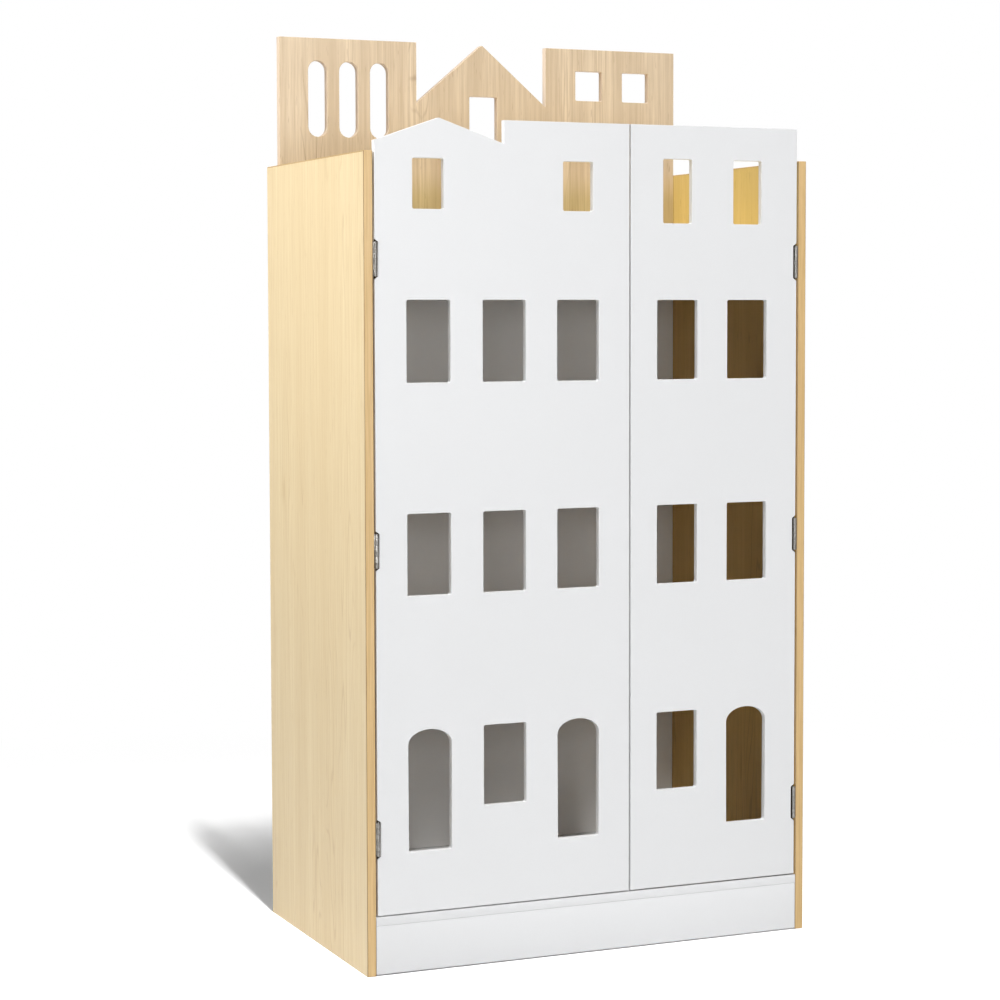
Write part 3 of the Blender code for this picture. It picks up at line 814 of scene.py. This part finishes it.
DOME = 0.02              # strength of the light from all round
FLOOR_RADIUS = 60.0
FLOOR_DROP = 0.0004
FLOOR_NEAR = 1.0         # the floor shades as paper up to here
FLOOR_FAR = 2.4          # and shows plain white from here on
PAPER_SEEN = (1.25, 1.25, 1.25)
PAPER_FIBRE = (1.235, 1.235, 1.235)
PAPER_BOUNCE = (0.80, 0.80, 0.80)


def add_camera():
    """The scene's camera, turned as it is in the photograph."""
    yaw, pitch, roll = (math.radians(v) for v in CAMERA_TURN)
    ahead = Vector((math.sin(yaw) * math.cos(pitch), math.cos(yaw) * math.cos(pitch), math.sin(pitch)))
    right = Vector((math.cos(yaw), -math.sin(yaw), 0.0))
    up = right.cross(ahead)
    across = right * math.cos(roll) + up * math.sin(roll)
    upward = up * math.cos(roll) - right * math.sin(roll)
    data = bpy.data.cameras.new("camera")
    data.sensor_width = 36.0
    data.lens = CAMERA_LENS
    data.shift_y = CAMERA_SHIFT
    data.clip_end = 200.0
    camera = bpy.data.objects.new("camera", data)
    bpy.context.scene.collection.objects.link(camera)
    matrix = Matrix((across, upward, -ahead)).transposed().to_4x4()
    matrix.translation = Vector(CAMERA_AT)
    camera.matrix_world = matrix
    bpy.context.scene.camera = camera


def add_light(name, kind, at, toward, power):
    """A light that faces a point. The camera doesn't see the light itself."""
    data = bpy.data.lights.new(name, kind)
    data.energy = power
    light = bpy.data.objects.new(name, data)
    bpy.context.scene.collection.objects.link(light)
    light.location = at
    light.rotation_euler = (Vector(toward) - Vector(at)).to_track_quat("-Z", "Y").to_euler()
    light.visible_camera = False
    return data


def add_softbox(name, at, toward, width, height, power):
    """A rectangular light."""
    data = add_light(name, "AREA", at, toward, power)
    data.shape = "RECTANGLE"
    data.size, data.size_y = width, height


def add_side_spot():
    """A wide, soft-edged spot on the upper part of the left side panel, which misses the floor."""
    data = add_light("side_spot", "SPOT", SPOT_AT, SPOT_TOWARD, SPOT_POWER)
    data.spot_size = math.radians(SPOT_CONE)
    data.spot_blend = 1.0
    data.shadow_soft_size = SPOT_RADIUS


def add_key_lights():
    """A narrow bow of lights over the left side panel's plane, whose shadow runs straight back."""
    low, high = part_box("left_side_panel")
    foot = Vector((low.x, high.y, KEY_AIM))
    for number, (elevation, power) in enumerate(KEY_LIGHTS):
        lift = math.radians(elevation)
        back = KEY_FAR * math.cos(lift)
        place = foot + Vector((-KEY_SLANT * back, -back, KEY_FAR * math.sin(lift)))
        add_softbox(f"key_{number + 1}", place, foot, *KEY_SIZE, power)


def add_dome():
    """A dim white light from all round, which the camera sees as a white background."""
    world = bpy.data.worlds.new("studio")
    bpy.context.scene.world = world
    world.use_nodes = True
    tree = world.node_tree
    tree.nodes.clear()
    dome = add_node(tree, "ShaderNodeBackground", {"Color": (1, 1, 1, 1), "Strength": DOME})
    seen = add_node(tree, "ShaderNodeBackground", {"Color": (1, 1, 1, 1), "Strength": 1.0})
    ray = add_node(tree, "ShaderNodeLightPath").outputs["Is Camera Ray"]
    mixed = add_node(tree, "ShaderNodeMixShader", {0: ray, 1: dome.outputs[0], 2: seen.outputs[0]})
    out = add_node(tree, "ShaderNodeOutputWorld")
    tree.links.new(mixed.outputs[0], out.inputs["Surface"])


def add_floor():
    """White paper, lit round the object and plain white further off. It bounces less light than
    the camera sees, so that it doesn't wash out the object's lower part."""
    bm = bmesh.new()
    bmesh.ops.create_circle(bm, cap_ends=True, segments=96, radius=FLOOR_RADIUS)
    mesh = bpy.data.meshes.new("floor")
    bm.to_mesh(mesh)
    bm.free()
    floor = added("floor", mesh)
    floor.location.z = -FLOOR_DROP
    material, tree, shader = new_material("floor_paper", 0.9, specular=0.1)
    place = add_node(tree, "ShaderNodeTexCoord").outputs["Object"]
    far = add_node(tree, "ShaderNodeVectorMath", {0: place}, operation="LENGTH").outputs["Value"]
    away = remap(tree, far, FLOOR_NEAR, FLOOR_FAR)
    seen = add_node(tree, "ShaderNodeLightPath").outputs["Is Camera Ray"]
    away = add_node(tree, "ShaderNodeMath", {0: away, 1: seen}, operation="MULTIPLY").outputs[0]
    bright = mix_colour(tree, noise(tree, place, 40.0, 3.0), PAPER_SEEN, PAPER_FIBRE)
    paper = mix_colour(tree, seen, PAPER_BOUNCE, bright)
    tree.links.new(paper, shader.inputs["Base Color"])
    glow = add_node(tree, "ShaderNodeEmission", {"Color": (1, 1, 1, 1), "Strength": 1.0})
    blend = add_node(tree, "ShaderNodeMixShader", {0: away, 1: shader.outputs[0], 2: glow.outputs[0]})
    tree.links.new(blend.outputs[0], tree.nodes["Material Output"].inputs["Surface"])
    painted(floor, material)


def add_studio():
    add_dome()
    for softbox in SOFTBOXES:
        add_softbox(*softbox)
    add_side_spot()
    add_key_lights()
    add_floor()
    bpy.context.scene.view_settings.view_transform = "Standard"


# ---------------------------------------------------------------- making

add_camera()
add_boards()
for side in SIDES:
    for level in LEVELS:
        add_hinge(side, level)
add_rail()
for side in SIDES:
    add_catch(side)
    add_strike_plate(side)
add_cams()
add_studio()
